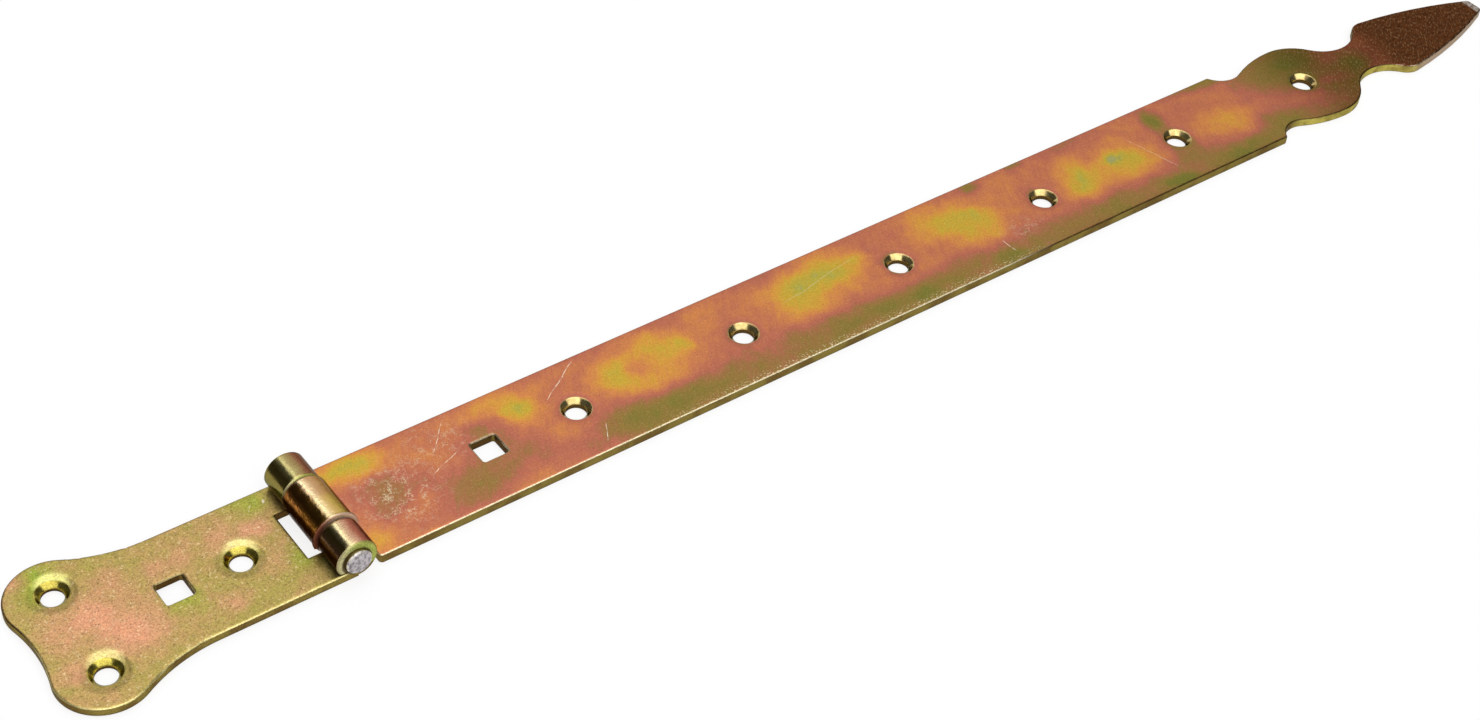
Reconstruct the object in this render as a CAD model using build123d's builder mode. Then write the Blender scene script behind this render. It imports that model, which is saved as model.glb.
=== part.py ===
from build123d import *
import os
from math import cos, radians, sin, sqrt

# Tee hinge. All lengths are in mm.
# X runs along the strap away from the pin, Y runs along the pin, and Z is up.
# The origin lies under the pin's axis, in the plane of the strap's back.

# Hinge pin
pin_diameter = 8.0
pin_overhang = 1.3
pin_edge_chamfer = 0.4

# Barrel: two knuckles of the frame leaf with the strap's knuckle between them
pin_grip = 0.02
pin_running = 0.05
strap_curl_wall = 2.8
leaf_curl_wall = 2.35
strap_knuckle_length = 18.5
knuckle_gap = 0.6
curl_gap = 0.8
knuckle_edge_chamfer = 0.5

# Raised lip that the rolling leaves round the near end of the strap's knuckle
knuckle_lip_height = 0.45
knuckle_lip_width = 1.4
knuckle_lip_bevel = 0.25
knuckle_lip_start = 200.0
knuckle_lip_sweep = 220.0

# Strap
strap_width = 40.0
strap_thickness = 3.0
strap_shoulder = 7.5
strap_corner_round = 1.2
strap_hole_count = 6
strap_hole_pitch = 62.0
strap_first_hole = 85.9
strap_square_to_first_hole = 30.4

# Spear end of the strap, with its lengths along X counted from the last screw hole
ear_scallop_radius = 9.0
ear_scallop_centre_back = 20.1
ear_scallop_centre_out = 4.0
ear_corner_over_face_round = 0.2
lobe_ahead = 2.0
lobe_under_width = 0.2
lobe_front_radius = 18.5
neck_ahead = 27.8
neck_half_width = 7.4
spear_half_width = 15.1
spear_shoulder_radius = 7.0
spear_side_radius = 180.0
spear_ahead = 92.2
spear_nose_half_width = 3.75
spear_nose_corner = 1.6

# Frame leaf, with its lengths along X counted from the pin's axis
leaf_width = 42.0
leaf_thickness = 2.5
leaf_window_length = 9.4
leaf_first_hole = 25.0
leaf_square = 45.1
leaf_lobe_holes = 73.2
leaf_lobe_hole_spacing = 32.8
leaf_lobe_radius = 14.0
leaf_lobe_spacing = 30.0
leaf_neck_radius = 48.0
leaf_waist = 85.3

# Screw holes and the square holes of the coach bolts
screw_hole_diameter = 6.6
countersink_diameter = 9.8
countersink_angle = 90.0
square_hole = 8.5
square_hole_corner = 0.8
square_hole_lip = 0.45

# Soft edges that the press leaves on the face side; the back stays sharp
face_edge_round = 0.6

# Worked out from the sizes above
screw_hole_radius = screw_hole_diameter / 2
countersink_radius = countersink_diameter / 2
strap_bore_radius = pin_diameter / 2 + pin_running
leaf_bore_radius = pin_diameter / 2 + pin_grip
strap_knuckle_radius = strap_bore_radius + strap_curl_wall
leaf_knuckle_radius = leaf_bore_radius + leaf_curl_wall
axis_height = strap_knuckle_radius
leaf_back = axis_height - leaf_knuckle_radius
leaf_face = leaf_back + leaf_thickness
leaf_window_width = strap_knuckle_length + 2 * knuckle_gap
leaf_knuckle_length = (leaf_width - leaf_window_width) / 2
leaf_knuckle_middle = (leaf_window_width + leaf_knuckle_length) / 2
pin_length = leaf_width + 2 * pin_overhang
strap_holes = [strap_first_hole + number * strap_hole_pitch for number in range(strap_hole_count)]
last_hole = strap_holes[-1]
ear_corner_round = face_edge_round + ear_corner_over_face_round
square_in_strap = strap_first_hole - strap_square_to_first_hole
barrel_axis = Axis((0, 0, axis_height), (0, 1, 0))
lip_start = radians(knuckle_lip_start)
lip_plane = Plane((0, 0, axis_height), x_dir=(0, 1, 0), z_dir=(sin(lip_start), 0, -cos(lip_start)))
lip_end = -strap_knuckle_length / 2
lip_foot = strap_knuckle_radius - knuckle_edge_chamfer
lip_top = strap_knuckle_radius + knuckle_lip_height


def touching_point(centre_a, radius_a, centre_b, radius_b):
    """The point where two circles that touch from outside meet."""
    share = radius_a / (radius_a + radius_b)
    return centre_a + (centre_b - centre_a) * share


def enclosing_centre(radius, centre_a, radius_a, centre_b, radius_b):
    """The centre, on the -Y side, of a circle that two smaller circles touch from inside."""
    run = centre_b - centre_a
    along = ((radius - radius_a) ** 2 - (radius - radius_b) ** 2 + run.length**2) / (2 * run.length)
    drop = sqrt((radius - radius_a) ** 2 - along**2)
    return centre_a + run.normalized() * along + Vector(run.Y, -run.X).normalized() * drop


def pushed_out(centre, towards, radius):
    """The point on a circle in the direction of another point."""
    return centre + (towards - centre).normalized() * radius


def square_rim(plate, centre, face):
    """The edges of a square hole in the plate's face."""
    level = plate.edges().filter_by_position(Axis.Z, face, face)
    abreast = level.filter_by_position(Axis.X, centre - square_hole, centre + square_hole)
    return abreast.filter_by_position(Axis.Y, -square_hole, square_hole)


# Circles of the spear end's outline, on the +Y side, each tangent to the next
scallop_centre = Vector(last_hole - ear_scallop_centre_back, strap_width / 2 + ear_scallop_centre_out)
lobe_top = Vector(last_hole + lobe_ahead, strap_width / 2 - lobe_under_width)
scallop_to_lobe = lobe_top - scallop_centre
lobe_back_radius = (scallop_to_lobe.X**2 + scallop_to_lobe.Y**2 - ear_scallop_radius**2) / (
    2 * (ear_scallop_radius + scallop_to_lobe.Y)
)
lobe_back_centre = lobe_top - Vector(0, lobe_back_radius)
lobe_front_centre = lobe_top - Vector(0, lobe_front_radius)
neck_bottom = Vector(last_hole + neck_ahead, neck_half_width)
lobe_to_neck = neck_bottom - lobe_front_centre
neck_radius = (lobe_to_neck.X**2 + lobe_to_neck.Y**2 - lobe_front_radius**2) / (
    2 * (lobe_front_radius - lobe_to_neck.Y)
)
neck_centre = neck_bottom + Vector(0, neck_radius)
shoulder_height = spear_half_width - spear_shoulder_radius
shoulder_ahead = sqrt((neck_radius + spear_shoulder_radius) ** 2 - (neck_centre.Y - shoulder_height) ** 2)
shoulder_centre = Vector(neck_centre.X + shoulder_ahead, shoulder_height)
nose_centre = Vector(last_hole + spear_ahead - spear_nose_corner, spear_nose_half_width - spear_nose_corner)
side_centre = enclosing_centre(
    spear_side_radius, shoulder_centre, spear_shoulder_radius, nose_centre, spear_nose_corner
)

# Points of that outline, from the ear to the nose
ear_back = sqrt(ear_scallop_radius**2 - ear_scallop_centre_out**2)
ear = scallop_centre - Vector(ear_back, ear_scallop_centre_out)
scallop_bottom = scallop_centre - Vector(0, ear_scallop_radius)
scallop_end = touching_point(scallop_centre, ear_scallop_radius, lobe_back_centre, lobe_back_radius)
neck_start = touching_point(lobe_front_centre, lobe_front_radius, neck_centre, neck_radius)
neck_end = touching_point(neck_centre, neck_radius, shoulder_centre, spear_shoulder_radius)
side_start = pushed_out(side_centre, shoulder_centre, spear_side_radius)
side_end = pushed_out(side_centre, nose_centre, spear_side_radius)
nose_end = nose_centre + Vector(spear_nose_corner, 0)

# Circles of the frame leaf's outline, on the +Y side
leaf_lobe_centre = Vector(-leaf_lobe_holes, leaf_lobe_spacing / 2)
leaf_neck_height = leaf_width / 2 + leaf_neck_radius
leaf_neck_drop = leaf_neck_height - leaf_lobe_centre.Y
leaf_neck_ahead = sqrt((leaf_neck_radius + leaf_lobe_radius) ** 2 - leaf_neck_drop**2)
leaf_neck_centre = Vector(leaf_lobe_centre.X + leaf_neck_ahead, leaf_neck_height)
waist_depth = leaf_waist + leaf_lobe_centre.X
waist_radius = (leaf_lobe_centre.Y**2 + waist_depth**2 - leaf_lobe_radius**2) / (
    2 * (leaf_lobe_radius - waist_depth)
)
waist_centre = Vector(-leaf_waist - waist_radius, 0)
leaf_lobe_start = touching_point(leaf_neck_centre, leaf_neck_radius, leaf_lobe_centre, leaf_lobe_radius)
leaf_lobe_end = touching_point(leaf_lobe_centre, leaf_lobe_radius, waist_centre, waist_radius)

# Strap: one pressed plate, whose root is rolled round the pin
with BuildPart() as strap:
    with BuildSketch(Plane.XY):
        with BuildLine():
            root = Line((strap_shoulder, 0), (strap_shoulder, strap_width / 2))
            Line(root @ 1, ear)
            scallop = ThreePointArc(ear, scallop_bottom, scallop_end)
            lobe_back = TangentArc(scallop_end, lobe_top, tangent=scallop % 1)
            lobe_front = TangentArc(lobe_top, neck_start, tangent=lobe_back % 1)
            neck = TangentArc(neck_start, neck_end, tangent=lobe_front % 1)
            shoulder = TangentArc(neck_end, side_start, tangent=neck % 1)
            side = TangentArc(side_start, side_end, tangent=shoulder % 1)
            TangentArc(side_end, nose_end, tangent=side % 1)
            Line(nose_end, (nose_end.X, 0))
            mirror(about=Plane.XZ)
        make_face()
    extrude(amount=strap_thickness)
    upright_edges = strap.edges().filter_by(Axis.Z).group_by(Axis.X)
    fillet(upright_edges[0], strap_corner_round)
    fillet(upright_edges[1], ear_corner_round)
    fillet(strap.faces().sort_by(Axis.Z)[-1].edges(), face_edge_round)
    # The tab under the pin, and the curl that it is rolled into
    with BuildSketch(Plane.XZ.offset(-strap_knuckle_length / 2)):
        tab_length = strap_shoulder + strap_corner_round
        with Locations((tab_length / 2, strap_thickness / 2)):
            Rectangle(tab_length, strap_thickness)
        with Locations((0, axis_height)):
            Circle(strap_knuckle_radius)
            Circle(strap_bore_radius, mode=Mode.SUBTRACT)
        with Locations((strap_knuckle_radius, strap_thickness + curl_gap / 2)):
            Rectangle(2 * strap_knuckle_radius, curl_gap, mode=Mode.SUBTRACT)
    extrude(amount=strap_knuckle_length)
    strap_curl = strap.faces().filter_by(GeomType.CYLINDER).sort_by(SortBy.AREA)[-1]
    chamfer(strap_curl.edges().filter_by(GeomType.CIRCLE), knuckle_edge_chamfer)
    with BuildSketch(lip_plane):
        with BuildLine():
            Polyline(
                (lip_end, lip_foot),
                (lip_end, lip_top - knuckle_lip_bevel),
                (lip_end + knuckle_lip_bevel, lip_top),
                (lip_end + knuckle_lip_width / 2, lip_top),
                (lip_end + knuckle_lip_width, lip_foot),
                close=True,
            )
        make_face()
    revolve(axis=barrel_axis, revolution_arc=knuckle_lip_sweep)
    with Locations(*[(place, 0, strap_thickness) for place in strap_holes]):
        CounterSinkHole(screw_hole_radius, countersink_radius, counter_sink_angle=countersink_angle)
    with BuildSketch(Plane.XY):
        with Locations((square_in_strap, 0)):
            RectangleRounded(square_hole, square_hole, square_hole_corner)
    extrude(amount=strap_thickness, mode=Mode.SUBTRACT)
    chamfer(square_rim(strap, square_in_strap, strap_thickness), square_hole_lip)
strap.part.label = "strap"

# Frame leaf's knuckles: two tabs rolled up round the far side of the pin and back over it
with BuildPart() as leaf_knuckles:
    for end in (-1, 1):
        with BuildSketch(Plane.XZ.offset(end * leaf_knuckle_middle - leaf_knuckle_length / 2)):
            with Locations((0, axis_height)):
                Circle(leaf_knuckle_radius)
                Circle(leaf_bore_radius, mode=Mode.SUBTRACT)
            with Locations((-leaf_knuckle_radius, (leaf_face + curl_gap) / 2)):
                Rectangle(2 * leaf_knuckle_radius, leaf_face + curl_gap, mode=Mode.SUBTRACT)
        extrude(amount=leaf_knuckle_length)
    leaf_curls = leaf_knuckles.faces().filter_by(GeomType.CYLINDER).sort_by(SortBy.AREA)[-2:]
    chamfer(leaf_curls.edges().filter_by(GeomType.CIRCLE), knuckle_edge_chamfer)

# Frame leaf: a plate with a pair of lobes, in one piece with its knuckles
with BuildPart() as frame_leaf:
    with BuildSketch(Plane.XY.offset(leaf_back)):
        with BuildLine():
            Line((0, 0), (0, leaf_width / 2))
            leaf_side = Line((0, leaf_width / 2), (leaf_neck_centre.X, leaf_width / 2))
            leaf_neck = TangentArc(leaf_side @ 1, leaf_lobe_start, tangent=leaf_side % 1)
            leaf_lobe = TangentArc(leaf_lobe_start, leaf_lobe_end, tangent=leaf_neck % 1)
            TangentArc(leaf_lobe_end, (-leaf_waist, 0), tangent=leaf_lobe % 1)
            mirror(about=Plane.XZ)
        make_face()
    extrude(amount=leaf_thickness)
    outer_edges = frame_leaf.faces().sort_by(Axis.Z)[-1].edges().sort_by(Axis.X)[:-1]
    fillet(outer_edges, face_edge_round)
    # The window that the strap's knuckle turns in
    with BuildSketch(Plane.XY.offset(leaf_back)):
        with Locations((-leaf_window_length / 2, 0)):
            Rectangle(leaf_window_length, leaf_window_width)
    extrude(amount=leaf_thickness, mode=Mode.SUBTRACT)
    add(leaf_knuckles.part)
    with BuildSketch(Plane.XZ.offset(-leaf_width / 2)):
        with Locations((0, axis_height)):
            Circle(leaf_bore_radius)
    extrude(amount=leaf_width, mode=Mode.SUBTRACT)
    with Locations(
        (-leaf_first_hole, 0, leaf_face),
        (-leaf_lobe_holes, leaf_lobe_hole_spacing / 2, leaf_face),
        (-leaf_lobe_holes, -leaf_lobe_hole_spacing / 2, leaf_face),
    ):
        CounterSinkHole(screw_hole_radius, countersink_radius, counter_sink_angle=countersink_angle)
    with BuildSketch(Plane.XY.offset(leaf_back)):
        with Locations((-leaf_square, 0)):
            RectangleRounded(square_hole, square_hole, square_hole_corner)
    extrude(amount=leaf_thickness, mode=Mode.SUBTRACT)
    chamfer(square_rim(frame_leaf, -leaf_square, leaf_face), square_hole_lip)
frame_leaf.part.label = "frame_leaf"

# Hinge pin: a cropped length of round bar, held in the leaf's knuckles
with BuildPart() as hinge_pin:
    with BuildSketch(Plane.XZ.offset(-pin_length / 2)):
        with Locations((0, axis_height)):
            Circle(pin_diameter / 2)
    extrude(amount=pin_length)
    chamfer(hinge_pin.edges().filter_by(GeomType.CIRCLE), pin_edge_chamfer)
hinge_pin.part.label = "hinge_pin"

os.makedirs("parts", exist_ok=True)
export_step(frame_leaf.part, "parts/frame_leaf.step")
export_step(strap.part, "parts/strap.step")
export_step(hinge_pin.part, "parts/hinge_pin.step")
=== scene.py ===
"""The looks of a yellow passivated steel tee hinge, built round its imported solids."""

import logging
import math
from dataclasses import dataclass
from enum import IntEnum

import bpy
from mathutils import Matrix, Vector

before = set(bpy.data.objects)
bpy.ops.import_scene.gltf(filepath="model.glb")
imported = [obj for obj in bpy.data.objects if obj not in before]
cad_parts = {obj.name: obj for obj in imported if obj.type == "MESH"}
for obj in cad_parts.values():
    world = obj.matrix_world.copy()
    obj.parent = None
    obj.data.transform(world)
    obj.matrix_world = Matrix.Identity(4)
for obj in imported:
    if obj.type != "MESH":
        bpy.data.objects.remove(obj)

MM = 0.001
AXIS_HEIGHT = 6.85
Colour = tuple[float, float, float]
Place = tuple[float, float, float]
Point = tuple[float, float]
Stops = tuple[tuple[float, Colour], ...]
Socket = bpy.types.NodeSocket
Value = Socket | float
Paint = Socket | Colour
logger = logging.getLogger("tee_hinge")


class Axis(IntEnum):
    """The axis of a direction that a box of light is bounded on."""

    X = 0
    Y = 1
    Z = 2


def tint(colour: Colour) -> tuple[float, float, float, float]:
    """Turn a written colour into the linear one that shaders take.

    Args:
        colour: red, green and blue from 0 to 255, as a screen shows them.

    Returns:
        The linear red, green and blue, with an alpha of 1.
    """
    shares = [channel / 255 for channel in colour]
    linear = [share / 12.92 if share <= 0.04045 else ((share + 0.055) / 1.055) ** 2.4 for share in shares]
    return (*linear, 1.0)


class NodeGraph:
    """A short way to write a tree's nodes: each method adds a node or a few and returns the result."""

    def __init__(self, tree: bpy.types.NodeTree, coordinate: str = "Object") -> None:
        """Empty a tree and read its coordinates.

        Args:
            tree: the material's or the world's tree.
            coordinate: the coordinate that patterns are laid on.
        """
        self.tree = tree
        tree.nodes.clear()
        self.place = self.add("TexCoord").outputs[coordinate]

    def add(self, kind: str) -> bpy.types.Node:
        """Add one node of a kind."""
        return self.tree.nodes.new("ShaderNode" + kind)

    def feed(self, socket: Socket, value: Value | Place) -> None:
        """Link a socket to a result, or set its number or colour.

        Args:
            socket: the input that is set.
            value: another node's output, a number, or a tuple.
        """
        if isinstance(value, bpy.types.NodeSocket):
            self.tree.links.new(value, socket)
        else:
            socket.default_value = value

    def math(self, operation: str, *values: Value) -> Socket:
        """Work out one number from others.

        Args:
            operation: the Math node's operation.
            values: its inputs in order.

        Returns:
            The result's socket.
        """
        node = self.add("Math")
        node.operation = operation
        for socket, value in zip(node.inputs, values):
            self.feed(socket, value)
        return node.outputs[0]

    def vector(self, operation: str, *values: Socket | Place) -> bpy.types.Node:
        """Work out a vector, or a length, from vectors.

        Args:
            operation: the Vector Math node's operation.
            values: its inputs in order.

        Returns:
            The node, whose first output is the vector.
        """
        node = self.add("VectorMath")
        node.operation = operation
        for socket, value in zip(node.inputs, values):
            self.feed(socket, value)
        return node

    def product(self, *values: Socket) -> Socket:
        """Multiply numbers together.

        Args:
            values: two numbers or more.

        Returns:
            The product's socket.
        """
        result = values[0]
        for value in values[1:]:
            result = self.math("MULTIPLY", result, value)
        return result

    def axes(self, vector: Socket) -> tuple[Socket, Socket, Socket]:
        """Split a vector.

        Args:
            vector: the vector's socket.

        Returns:
            Its X, Y and Z.
        """
        node = self.add("SeparateXYZ")
        self.feed(node.inputs[0], vector)
        return node.outputs[0], node.outputs[1], node.outputs[2]

    def normal(self) -> tuple[Socket, Socket, Socket]:
        """Split the surface's own normal, in the object's axes, into its X, Y and Z."""
        return self.axes(self.add("TexCoord").outputs["Normal"])

    def reach(self, first: Socket, second: Socket, centre: Point) -> Socket:
        """Work out how far two coordinates lie from a centre.

        Args:
            first: the first coordinate.
            second: the second coordinate.
            centre: the centre, in mm.

        Returns:
            The distance in metres.
        """
        sides = [self.math("SUBTRACT", side, middle * MM) for side, middle in zip((first, second), centre)]
        squares = self.math("MULTIPLY_ADD", sides[0], sides[0], self.math("MULTIPLY", sides[1], sides[1]))
        return self.math("SQRT", squares)

    def step(self, value: Socket, low: float, high: float, to: Point = (0.0, 1.0)) -> Socket:
        """Ease smoothly between two results as a value passes from low to high.

        Args:
            value: the value that is read.
            low: where the change starts.
            high: where it ends; it may be less than low.
            to: the results at low and at high.

        Returns:
            The eased result's socket.
        """
        node = self.add("MapRange")
        node.interpolation_type = "SMOOTHSTEP"
        node.clamp = False
        swapped = low > high
        node.inputs["From Min"].default_value = min(low, high)
        node.inputs["From Max"].default_value = max(low, high)
        node.inputs["To Min"].default_value = to[1] if swapped else to[0]
        node.inputs["To Max"].default_value = to[0] if swapped else to[1]
        self.feed(node.inputs["Value"], value)
        return node.outputs[0]

    def past(self, length: Socket, bounds: Point, to: Point = (0.0, 1.0)) -> Socket:
        """Ease between two results as a length or a coordinate passes between two bounds in mm."""
        return self.step(length, bounds[0] * MM, bounds[1] * MM, to)

    def clouds(self, place: Socket, scale: float, detail: float) -> bpy.types.Node:
        """Add a cloudy pattern.

        Args:
            place: the coordinates that it is laid on.
            scale: clouds in a unit of them.
            detail: octaves of finer clouds.

        Returns:
            The node, whose first output is a value from about 0 to 1.
        """
        node = self.add("TexNoise")
        node.inputs["Scale"].default_value = scale
        node.inputs["Detail"].default_value = detail
        self.feed(node.inputs["Vector"], place)
        return node

    def noise(self, size: float, detail: float) -> Socket:
        """A cloudy pattern on the tree's own coordinates, with clouds of a size in mm."""
        return self.clouds(self.place, 1 / (size * MM), detail).outputs[0]

    def laid(self, place: Socket, turn: float, start: Place = (0, 0, 0), size: Place = (1, 1, 1)) -> Socket:
        """Lay coordinates along a direction.

        Args:
            place: the coordinates before.
            turn: the direction's angle from X, in radians.
            start: where the new ones start, in metres.
            size: the length of their units, in metres.

        Returns:
            The new coordinates.
        """
        node = self.add("Mapping")
        node.vector_type = "TEXTURE"
        node.inputs["Location"].default_value = start
        node.inputs["Rotation"].default_value = (0, 0, turn)
        node.inputs["Scale"].default_value = size
        self.feed(node.inputs["Vector"], place)
        return node.outputs[0]

    def streaks(self, long: float, wide: float, turn: float) -> Socket:
        """A cloudy pattern drawn out along one direction, as a wiping cloth leaves it.

        Args:
            long: a streak's length in mm.
            wide: its width in mm.
            turn: its direction in degrees from X.

        Returns:
            A value from about 0 to 1.
        """
        size = (long * MM, wide * MM, wide * MM)
        return self.clouds(self.laid(self.place, math.radians(turn), size=size), 1.0, 3.0).outputs[0]

    def softened(self, radius: float) -> tuple[Socket, Socket]:
        """Round the look of every edge.

        Args:
            radius: the round's radius in mm.

        Returns:
            The rounded normal, and how far it points along the object's own Z.
        """
        node = self.add("Bevel")
        node.samples = 8
        node.inputs["Radius"].default_value = radius * MM
        turned = self.add("VectorTransform")
        turned.vector_type = "NORMAL"
        turned.convert_from = "WORLD"
        turned.convert_to = "OBJECT"
        self.feed(turned.inputs[0], node.outputs[0])
        return node.outputs[0], self.axes(turned.outputs[0])[2]

    def warped(self, size: float, amount: float) -> Socket:
        """Push the coordinates about, so that patches laid on them get wandering outlines.

        Args:
            size: the wander's size in mm.
            amount: how far it pushes, in mm.

        Returns:
            The pushed coordinates.
        """
        pattern = self.clouds(self.place, 1 / (size * MM), 3.0)
        centred = self.vector("SUBTRACT", self.place, (amount * MM, amount * MM, 0))
        push = (2 * amount * MM, 2 * amount * MM, 0)
        return self.vector("MULTIPLY_ADD", pattern.outputs["Color"], push, centred.outputs[0]).outputs[0]

    def lines(self, size: float, width: float) -> Socket:
        """A net of fine crossing lines.

        Args:
            size: the net's mesh in mm.
            width: a line's share of it.

        Returns:
            1 on a line and 0 off it.
        """
        node = self.add("TexVoronoi")
        node.feature = "DISTANCE_TO_EDGE"
        node.inputs["Scale"].default_value = 1 / (size * MM)
        self.feed(node.inputs["Vector"], self.warped(size * 0.7, size * 0.7))
        return self.step(node.outputs["Distance"], width, width * 0.3)

    def ramp(self, value: Socket, stops: Stops) -> Socket:
        """Colour a value.

        Args:
            value: the value that is read, from 0 to 1.
            stops: places from 0 to 1, each with its written colour.

        Returns:
            The colour's socket.
        """
        node = self.add("ValToRGB")
        elements = node.color_ramp.elements
        while len(elements) < len(stops):
            elements.new(0.5)
        for element, (position, colour) in zip(elements, stops):
            element.position = position
            element.color = tint(colour)
        self.feed(node.inputs[0], value)
        return node.outputs[0]

    def mix(self, share: Value, first: Paint, second: Paint, blend: str = "MIX") -> Socket:
        """Mix two colours.

        Args:
            share: how much of the second colour shows.
            first: a colour socket, or a written colour.
            second: a colour socket, or a written colour.
            blend: the blend type.

        Returns:
            The mixed colour's socket.
        """
        node = self.add("Mix")
        node.data_type = "RGBA"
        node.blend_type = blend
        self.feed(node.inputs["Factor"], share)
        for socket, colour in ((node.inputs[6], first), (node.inputs[7], second)):
            self.feed(socket, tint(colour) if isinstance(colour, tuple) else colour)
        return node.outputs[2]

    def grey(self, value: Socket) -> Socket:
        """Make a grey colour of a number.

        Args:
            value: the number.

        Returns:
            The colour's socket.
        """
        node = self.add("CombineColor")
        for channel in node.inputs:
            self.feed(channel, value)
        return node.outputs[0]

    def bump(self, height: Socket, depth: float, below: Socket | None = None) -> Socket:
        """Tilt the normal by a height.

        Args:
            height: the pattern's height, from 0 to 1.
            depth: the height that 1 stands for, in mm.
            below: a normal that this one adds to.

        Returns:
            The normal's socket.
        """
        node = self.add("Bump")
        node.inputs["Distance"].default_value = depth * MM
        self.feed(node.inputs["Height"], height)
        if below is not None:
            self.feed(node.inputs["Normal"], below)
        return node.outputs[0]

    def metal(self, colour: Socket, roughness: Socket, normal: Socket) -> None:
        """Finish a material's tree as bare or plated metal.

        Args:
            colour: the base colour.
            roughness: how dull it is.
            normal: the bumped normal.
        """
        shader = self.add("BsdfPrincipled")
        shader.inputs["Metallic"].default_value = 1.0
        shader.inputs["Specular Tint"].default_value = (0.5, 0.5, 0.5, 1)
        self.feed(shader.inputs["Base Color"], colour)
        self.feed(shader.inputs["Roughness"], roughness)
        self.feed(shader.inputs["Normal"], normal)
        self.feed(self.add("OutputMaterial").inputs["Surface"], shader.outputs[0])


def new_material(name: str) -> tuple[bpy.types.Material, NodeGraph]:
    """Add an empty material.

    Args:
        name: the material's name.

    Returns:
        The material and its nodes.
    """
    material = bpy.data.materials.new(name)
    material.use_nodes = True
    return material, NodeGraph(material.node_tree)


@dataclass(frozen=True)
class Speckle:
    """A cloudy pattern cut between two levels, as specks, worn spots and stains are."""

    size: float
    detail: float
    low: float
    high: float
    to: Point = (0.0, 1.0)

    def on(self, graph: NodeGraph) -> Socket:
        """Lay the pattern on a material's own coordinates."""
        return graph.step(graph.noise(self.size, self.detail), self.low, self.high, self.to)


@dataclass(frozen=True)
class Patch:
    """A cloud where the film is thicker or thinner. Lengths are in mm, in the hinge's own frame."""

    x: float
    y: float
    radius: float
    amount: float
    long: float = 1.0

    def add_to(self, graph: NodeGraph, film: Value, place: Socket) -> Socket:
        """Add the cloud to a film.

        Args:
            graph: the material's nodes.
            film: the film before the cloud.
            place: the wandering coordinates that clouds are laid on.

        Returns:
            The film with the cloud.
        """
        across = 1 / (self.radius * MM)
        along = across / self.long
        scale = (along, across, 0)
        offset = (-self.x * MM * along, -self.y * MM * across, 0)
        centred = graph.vector("MULTIPLY_ADD", place, scale, offset)
        length = graph.vector("LENGTH", centred.outputs[0]).outputs["Value"]
        return graph.math("ADD", film, graph.step(length, 1.0, 0.0, (0.0, self.amount)))


@dataclass(frozen=True)
class Scratch:
    """A fine broken line that is rubbed through the film, between two points in mm."""

    start: Point
    end: Point
    width: float = 0.16
    strength: float = 0.8

    def add_to(self, graph: NodeGraph, colour: Socket, bright: Colour) -> Socket:
        """Draw the line over a colour.

        Args:
            graph: the material's nodes.
            colour: the colour before the line.
            bright: the line's own colour.

        Returns:
            The colour with the line.
        """
        run = math.dist(self.start, self.end)
        turn = math.atan2(self.end[1] - self.start[1], self.end[0] - self.start[0])
        start = (self.start[0] * MM, self.start[1] * MM, 0)
        along, across, _ = graph.axes(graph.laid(graph.warped(9.0, 0.9), turn, start))
        line = graph.past(graph.math("ABSOLUTE", across), (self.width, 0.3 * self.width))
        begins = graph.past(along, (0.0, 0.2 * run))
        stops = graph.past(along, (run, 0.8 * run))
        broken = Speckle(1.6, 2.0, 0.4, 0.55, (0.15, self.strength)).on(graph)
        return graph.mix(graph.product(line, begins, stops, broken), colour, bright)


@dataclass(frozen=True)
class KnuckleFilmAndPaintedLight:
    """The film round a rolled knuckle, with a painted highlight and painted shade among its bands, by how far
    each place lies along X from the pin's axis, in mm.
    """

    stops: Stops
    reach: float = 7.0
    wander: float = 1.2

    def colour(self, graph: NodeGraph) -> Socket:
        """Colour the knuckle in bands along its length: film tones with a painted highlight and painted shade.

        Args:
            graph: the material's nodes.

        Returns:
            The knuckle's colour.
        """
        x, _, _ = graph.axes(graph.place)
        whole = 2 * self.reach
        place = graph.math("MULTIPLY_ADD", graph.noise(5.0, 3.0), 2 * self.wander * MM, x)
        share = graph.math("MULTIPLY_ADD", place, 1 / (whole * MM), 0.5 - self.wander / whole)
        return graph.ramp(share, tuple(((x + self.reach) / whole, colour) for x, colour in self.stops))


@dataclass(frozen=True)
class Zones:
    """Where each kind of surface lies on a plate, from 0 to 1, and what that is read from."""

    distance: Socket
    face: Socket
    wall: Socket
    rim: Socket
    knuckle: Socket
    endways: Socket
    countersink: Socket
    soft_normal: Socket


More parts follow.
